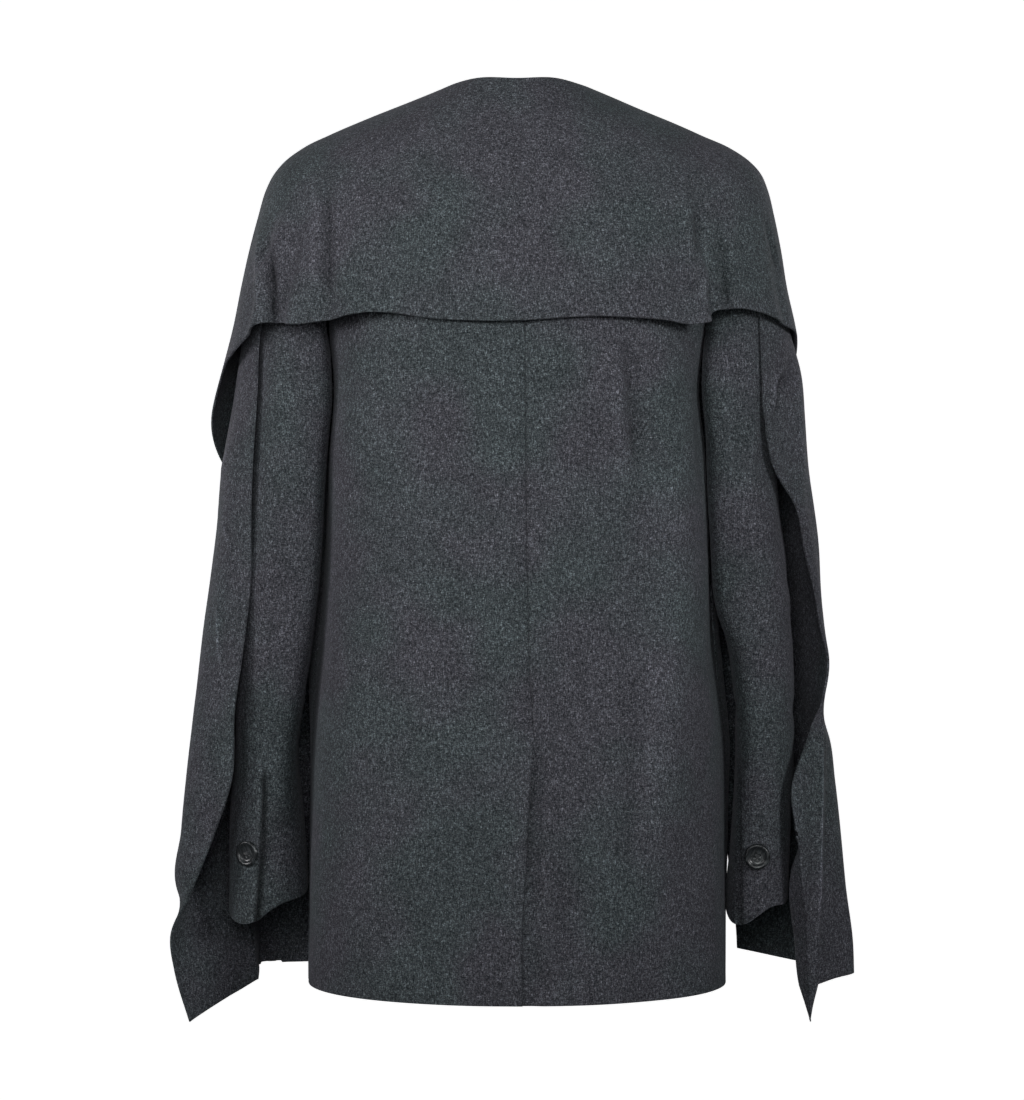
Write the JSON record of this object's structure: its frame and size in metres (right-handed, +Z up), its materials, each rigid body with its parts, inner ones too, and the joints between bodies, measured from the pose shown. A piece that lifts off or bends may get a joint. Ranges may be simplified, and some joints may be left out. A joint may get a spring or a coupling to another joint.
{
  "type": "cape blazer",
  "caption": "Collarless single-breasted cape blazer in dark wool flannel, worn and hollow, with a short capelet, long open cape panels over the sleeves and buttoned cuffs.",
  "frame": {"origin": "base of the neck, between the inner ends of the shoulder seams, where the wearer holds the garment up", "axes": "+X is the wearer's left, +Y the back, +Z up; the front faces -Y"},
  "size_m": [0.5604, 0.267, 0.7672],
  "materials": {
    "flannel": "matte brushed wool flannel, dark charcoal with a fine pale fleck",
    "horn_button": "polished dark horn"
  },
  "bodies": {
    "root": {"back_left": "flannel", "back_right": "flannel", "front_left": "flannel", "front_right": "flannel", "upper_sleeve_left": "flannel", "upper_sleeve_right": "flannel", "under_sleeve_left": "flannel", "under_sleeve_right": "flannel", "capelet": "flannel", "cape_panel_left": "flannel", "cape_panel_right": "flannel", "cuff_button_left": "horn_button", "cuff_button_right": "horn_button", "front_button_upper": "horn_button", "front_button_lower": "horn_button"}
  },
  "joints": []
}
